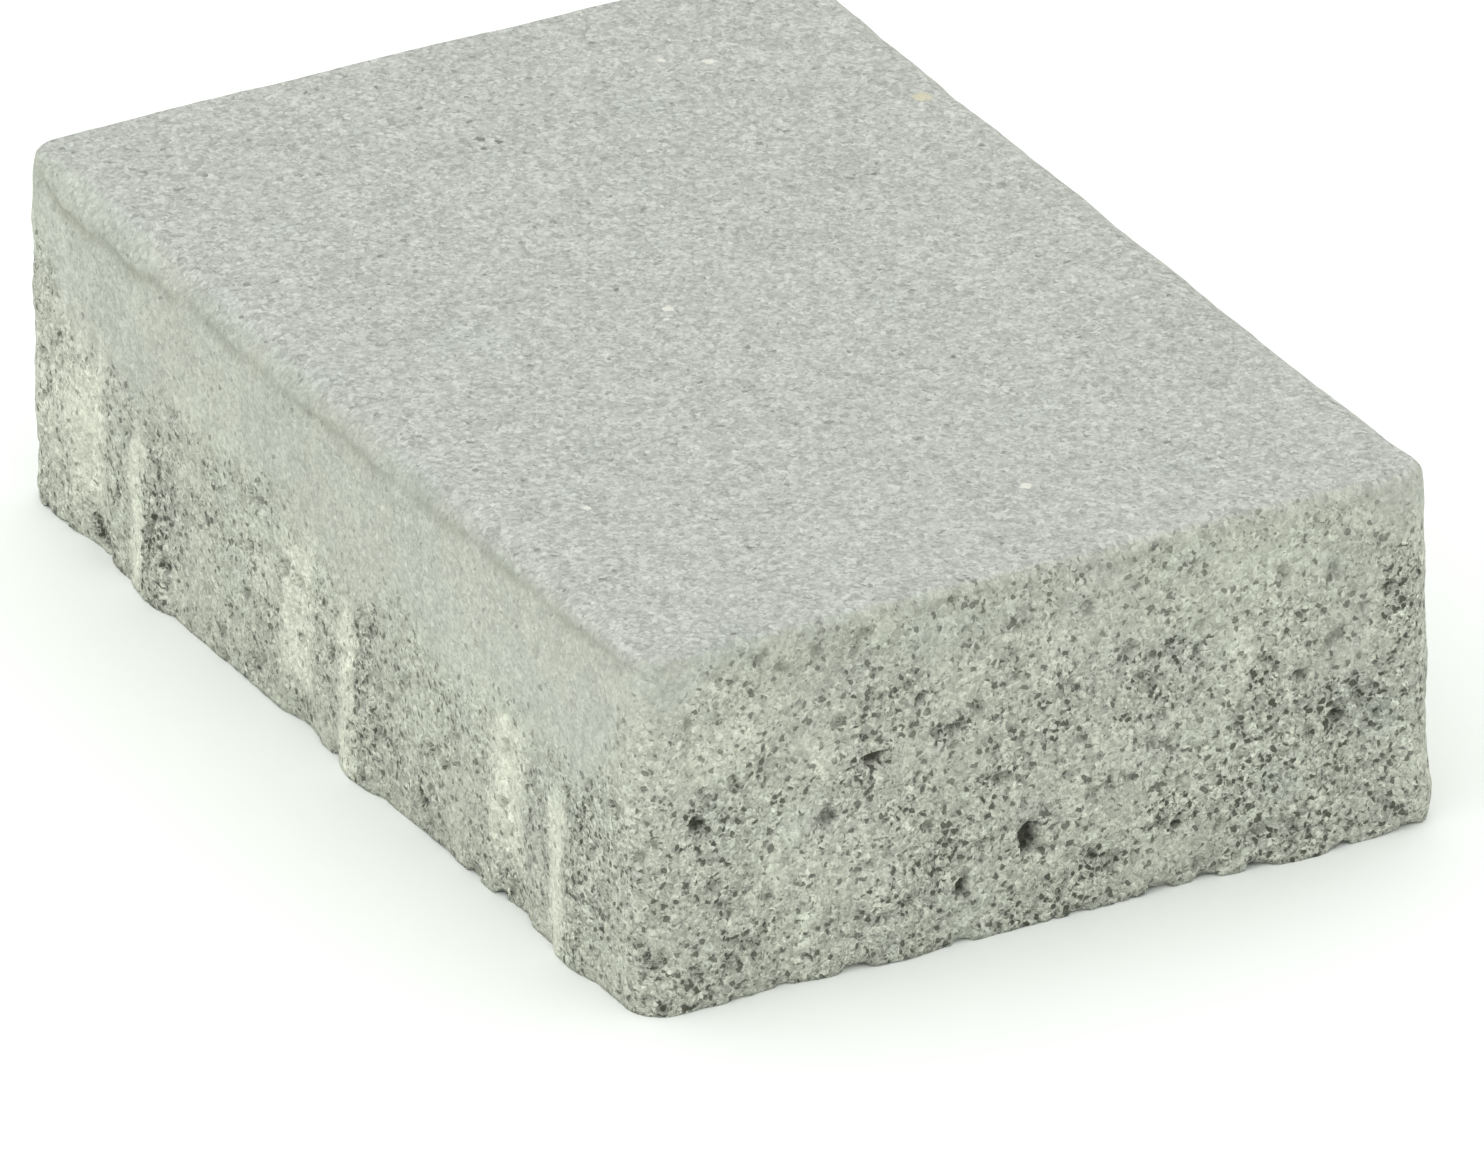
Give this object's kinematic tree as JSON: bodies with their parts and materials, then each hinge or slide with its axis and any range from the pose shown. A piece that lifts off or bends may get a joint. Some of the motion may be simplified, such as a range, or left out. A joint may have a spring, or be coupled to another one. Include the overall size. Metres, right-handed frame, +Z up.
{
  "type": "concrete paving stone",
  "caption": "Rectangular cast concrete block paver with eased top edges, rounded corners and small interlock ribs and recesses on the lower half of its sides.",
  "frame": {"origin": "middle of the bed, the face that lies on the sand", "axes": "+Z up through the thickness to the walking face, +X along the length"},
  "size_m": [0.209, 0.139, 0.06],
  "materials": {
    "cast_concrete": "matte cast concrete: a fine-grained face on top and coarser, pitted concrete below"
  },
  "bodies": {
    "root": {"paving_stone": "cast_concrete"}
  },
  "joints": []
}
